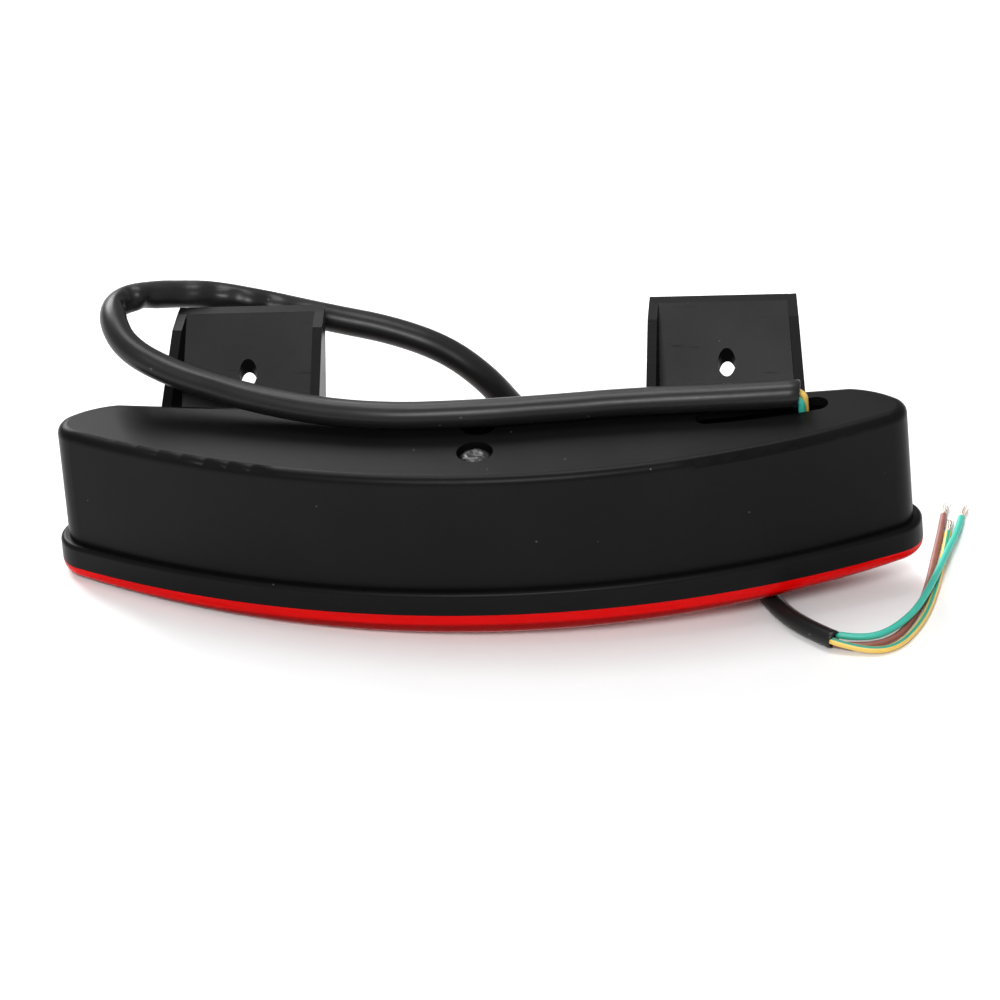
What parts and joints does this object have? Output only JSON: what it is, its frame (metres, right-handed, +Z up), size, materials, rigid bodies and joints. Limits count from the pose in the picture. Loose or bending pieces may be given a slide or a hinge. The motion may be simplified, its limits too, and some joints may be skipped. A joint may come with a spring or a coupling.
{
  "type": "motorcycle tail light",
  "caption": "Crescent tail light for a rear fender edge: black housing, clear red lens, rows of LEDs inside, leaning mounting tabs and a sleeved lead with bare wire ends.",
  "frame": {"origin": "on the floor, under the centre of the lamp's own box, without its lead", "axes": "+X along the lamp to the end where the wires come out, +Y from the crown of the crescent towards the mounting tabs, +Z up from the lens that it stands on; the lamp leans 2.25 degrees about Y because its lead lies under its +X half"},
  "size_m": [0.2274, 0.0828, 0.0631],
  "materials": {
    "housing_black": "semi-gloss moulded black with a fine grain",
    "lens_red": "clear red, polished",
    "seal_black": "soft black bead",
    "reflector_bright": "bright metallised plastic",
    "board_green": "green solder mask",
    "led_red": "clear red epoxy",
    "component_dark": "moulded epoxy",
    "screw_steel": "zinc plated",
    "solder": "smooth tin alloy",
    "sealant_clear": "translucent potting compound",
    "sleeve_black": "soft black extruded sleeve",
    "wire_green": "soft vinyl insulation",
    "wire_brown": "soft vinyl insulation",
    "wire_yellow": "soft vinyl insulation",
    "copper": "tinned copper strands"
  },
  "bodies": {
    "root": {"housing": "housing_black", "lens": "lens_red", "lens_seal": "seal_black", "reflector": "reflector_bright", "circuit_board": "board_green", "running_leds": "led_red", "brake_leds": "led_red", "resistors": "component_dark", "diodes": "component_dark", "board_screws": "screw_steel", "solder_joints": "solder", "lead_sealant": "sealant_clear", "lead_brown": "wire_brown", "lead_yellow": "wire_yellow", "lead_green": "wire_green", "cable_sleeve": "sleeve_black", "cable_sleeve_end": "sleeve_black", "wire_green": "wire_green", "wire_brown": "wire_brown", "wire_yellow": "wire_yellow", "strands_green": "copper", "strands_brown": "copper", "strands_yellow": "copper"}
  },
  "joints": []
}
